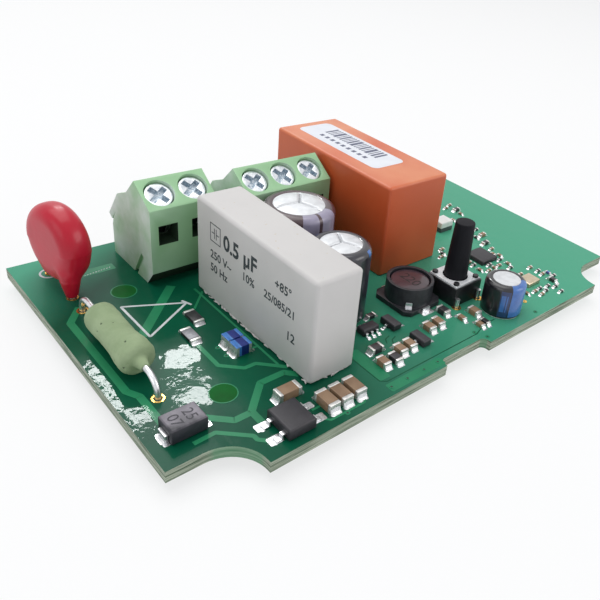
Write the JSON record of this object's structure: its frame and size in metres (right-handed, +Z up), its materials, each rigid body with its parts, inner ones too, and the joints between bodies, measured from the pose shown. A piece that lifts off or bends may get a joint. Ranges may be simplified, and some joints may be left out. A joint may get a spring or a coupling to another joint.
{
  "type": "wireless power module",
  "caption": "Mains relay circuit board of a smart home switch, with screw terminals, relay, capacitors, surge protection and a push switch.",
  "frame": {"origin": "middle of the board's outline seen from above, at the height of the clipped lead tips", "axes": "+X along the long front edge to the right, +Y to the edge with the screw terminals, +Z up out of the side that carries the parts"},
  "size_m": [0.086, 0.0524, 0.0187],
  "materials": {
    "laminate": "green solder resist over glass laminate",
    "solder": "bright tinned solder",
    "terminal_moulding": "frosted green",
    "tinned_metal": "tinned",
    "pale_case": "satin warm grey",
    "pale_resin": "cast, glossy",
    "film_roll": "metallised film",
    "orange_cover": "satin orange",
    "dark_base": "moulded black",
    "copper_winding": "enamelled wire",
    "soft_iron": "plated",
    "contact_alloy": "bright",
    "red_lacquer": "glossy dipped lacquer",
    "green_cement": "matte, pitted",
    "can_metal": "drawn, satin",
    "bung_rubber": "matte",
    "paper_roll": "wound foil and paper",
    "brown_sleeve": "shrunk sleeve, brown",
    "dark_sleeve": "shrunk sleeve, blue black",
    "ferrite": "matte ferrite",
    "switch_steel": "bright stamped",
    "package_moulding": "black epoxy",
    "crystal_can": "plated lid",
    "white_led": "white moulding",
    "tan_ceramic": "fired ceramic",
    "black_chip": "black glaze",
    "blue_chip": "blue ceramic",
    "zinc_screw": "zinc plated",
    "clamp_steel": "plated steel"
  },
  "bodies": {
    "board": {"circuit_board": "laminate", "solder_joints": "solder", "terminal_housing_two_way": "terminal_moulding", "terminal_housing_three_way": "terminal_moulding", "terminal_contacts": "tinned_metal", "film_capacitor_case": "pale_case", "film_capacitor_resin": "pale_resin", "film_capacitor_winding": "film_roll", "film_capacitor_leads": "tinned_metal", "relay_cover": "orange_cover", "relay_base": "dark_base", "relay_bobbin": "dark_base", "relay_coil": "copper_winding", "relay_core": "soft_iron", "relay_yoke": "soft_iron", "relay_fixed_contact": "contact_alloy", "relay_pins": "tinned_metal", "varistor_body": "red_lacquer", "varistor_leads": "tinned_metal", "power_resistor_body": "green_cement", "power_resistor_leads": "tinned_metal", "electrolytic_cans": "can_metal", "electrolytic_bungs": "bung_rubber", "electrolytic_elements": "paper_roll", "electrolytic_leads": "tinned_metal", "large_electrolytic_sleeve": "brown_sleeve", "medium_electrolytic_sleeve": "dark_sleeve", "small_electrolytic_sleeve": "dark_sleeve", "inductor_shield": "ferrite", "inductor_core": "ferrite", "inductor_winding": "copper_winding", "inductor_terminals": "tinned_metal", "switch_housing": "dark_base", "switch_cover_plate": "switch_steel", "switch_dome": "switch_steel", "switch_legs": "tinned_metal", "diode_body": "package_moulding", "diode_tabs": "tinned_metal", "bridge_body": "package_moulding", "small_packages": "package_moulding", "package_leads": "tinned_metal", "crystal": "crystal_can", "indicator_led": "white_led", "ceramic_capacitors": "tan_ceramic", "chip_resistors": "black_chip", "blue_chips": "blue_chip", "chip_ends": "tinned_metal"},
    "clamp_screw_1": {"clamp_screw_1": "zinc_screw"},
    "clamp_screw_2": {"clamp_screw_2": "zinc_screw"},
    "clamp_screw_3": {"clamp_screw_3": "zinc_screw"},
    "clamp_screw_4": {"clamp_screw_4": "zinc_screw"},
    "clamp_screw_5": {"clamp_screw_5": "zinc_screw"},
    "clamp_cage_1": {"clamp_cage_1": "clamp_steel"},
    "clamp_cage_2": {"clamp_cage_2": "clamp_steel"},
    "clamp_cage_3": {"clamp_cage_3": "clamp_steel"},
    "clamp_cage_4": {"clamp_cage_4": "clamp_steel"},
    "clamp_cage_5": {"clamp_cage_5": "clamp_steel"},
    "switch_button": {"switch_plunger": "dark_base"},
    "relay_armature": {"relay_armature": "soft_iron", "relay_moving_contact": "contact_alloy"}
  },
  "joints": [
    {"name": "clamp_screw_1_turn", "type": "hinge", "parent": "board", "child": "clamp_screw_1", "pos_m": [-0.02577, 0.01333, 0.01643], "axis": [0, 0.5503, -0.835], "range_deg": [0, 1800]},
    {"name": "clamp_cage_1_slide", "type": "slide", "parent": "board", "child": "clamp_cage_1", "axis": [0, -0.5503, 0.835], "range_m": [0, 0.0025]},
    {"name": "clamp_screw_2_turn", "type": "hinge", "parent": "board", "child": "clamp_screw_2", "pos_m": [-0.02069, 0.01333, 0.01643], "axis": [0, 0.5503, -0.835], "range_deg": [0, 1800]},
    {"name": "clamp_cage_2_slide", "type": "slide", "parent": "board", "child": "clamp_cage_2", "axis": [0, -0.5503, 0.835], "range_m": [0, 0.0025]},
    {"name": "clamp_screw_3_turn", "type": "hinge", "parent": "board", "child": "clamp_screw_3", "pos_m": [-0.0115, 0.01123, 0.01643], "axis": [0, 0.5503, -0.835], "range_deg": [0, 1800]},
    {"name": "clamp_cage_3_slide", "type": "slide", "parent": "board", "child": "clamp_cage_3", "axis": [0, -0.5503, 0.835], "range_m": [0, 0.0025]},
    {"name": "clamp_screw_4_turn", "type": "hinge", "parent": "board", "child": "clamp_screw_4", "pos_m": [-0.00642, 0.01123, 0.01643], "axis": [0, 0.5503, -0.835], "range_deg": [0, 1800]},
    {"name": "clamp_cage_4_slide", "type": "slide", "parent": "board", "child": "clamp_cage_4", "axis": [0, -0.5503, 0.835], "range_m": [0, 0.0025]},
    {"name": "clamp_screw_5_turn", "type": "hinge", "parent": "board", "child": "clamp_screw_5", "pos_m": [-0.00134, 0.01123, 0.01643], "axis": [0, 0.5503, -0.835], "range_deg": [0, 1800]},
    {"name": "clamp_cage_5_slide", "type": "slide", "parent": "board", "child": "clamp_cage_5", "axis": [0, -0.5503, 0.835], "range_m": [0, 0.0025]},
    {"name": "switch_button_press", "type": "slide", "parent": "board", "child": "switch_button", "axis": [0, 0, -1], "range_m": [0, 0.00025], "stiffness_N_per_m": 4000, "springref_m": -0.0001, "deforming": ["switch_dome"]},
    {"name": "relay_armature_tip", "type": "hinge", "parent": "board", "child": "relay_armature", "pos_m": [0.00855, 0.01365, 0.0171], "axis": [-1, 0, 0], "range_deg": [0, 3.9], "stiffness_Nm_per_rad": 0.02, "springref_deg": -1.15}
  ],
  "couplings": [
    {"joint": "clamp_screw_1_turn", "follows": "clamp_cage_1_slide", "rad_per_m": 12566},
    {"joint": "clamp_screw_2_turn", "follows": "clamp_cage_2_slide", "rad_per_m": 12566},
    {"joint": "clamp_screw_3_turn", "follows": "clamp_cage_3_slide", "rad_per_m": 12566},
    {"joint": "clamp_screw_4_turn", "follows": "clamp_cage_4_slide", "rad_per_m": 12566},
    {"joint": "clamp_screw_5_turn", "follows": "clamp_cage_5_slide", "rad_per_m": 12566}
  ]
}
